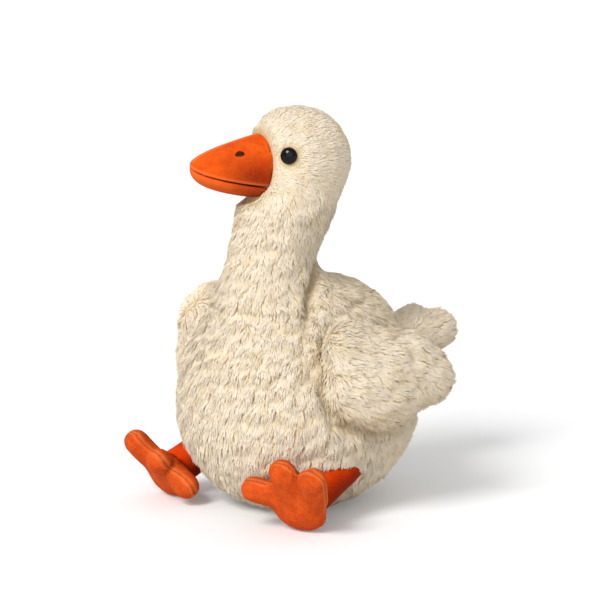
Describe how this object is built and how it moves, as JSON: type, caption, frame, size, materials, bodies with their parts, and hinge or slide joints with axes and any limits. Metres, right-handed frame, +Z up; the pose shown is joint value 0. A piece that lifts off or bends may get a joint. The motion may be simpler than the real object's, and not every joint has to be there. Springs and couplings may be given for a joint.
{
  "type": "plush goose",
  "caption": "Stuffed plush goose in cream curly pile that sits upright, with an orange beak, legs and webbed feet, domed black eyes, padded wings and a short tail.",
  "frame": {"origin": "on the flat patch that the goose sits on, under the middle of its belly", "axes": "+Z up, the chest and the feet to -Y, the goose's own left side to +X"},
  "size_m": [0.2196, 0.2443, 0.2861],
  "materials": {
    "cream_pile": "short curly pile",
    "orange_velour": "short velour nap",
    "orange_cloth": "smooth cloth",
    "black_gloss": "gloss",
    "white_nylon": "satin",
    "brown_thread": "embroidery thread"
  },
  "bodies": {
    "root": {"body": "cream_pile", "wing_left": "cream_pile", "wing_right": "cream_pile", "tail": "cream_pile", "beak_upper": "orange_velour", "beak_lower": "orange_velour", "nostril_left": "brown_thread", "nostril_right": "brown_thread", "eye_left": "black_gloss", "eye_right": "black_gloss", "eye_washer_left": "white_nylon", "eye_washer_right": "white_nylon", "leg_left": "orange_cloth", "leg_right": "orange_cloth", "foot_left": "orange_velour", "foot_right": "orange_velour"}
  },
  "joints": []
}
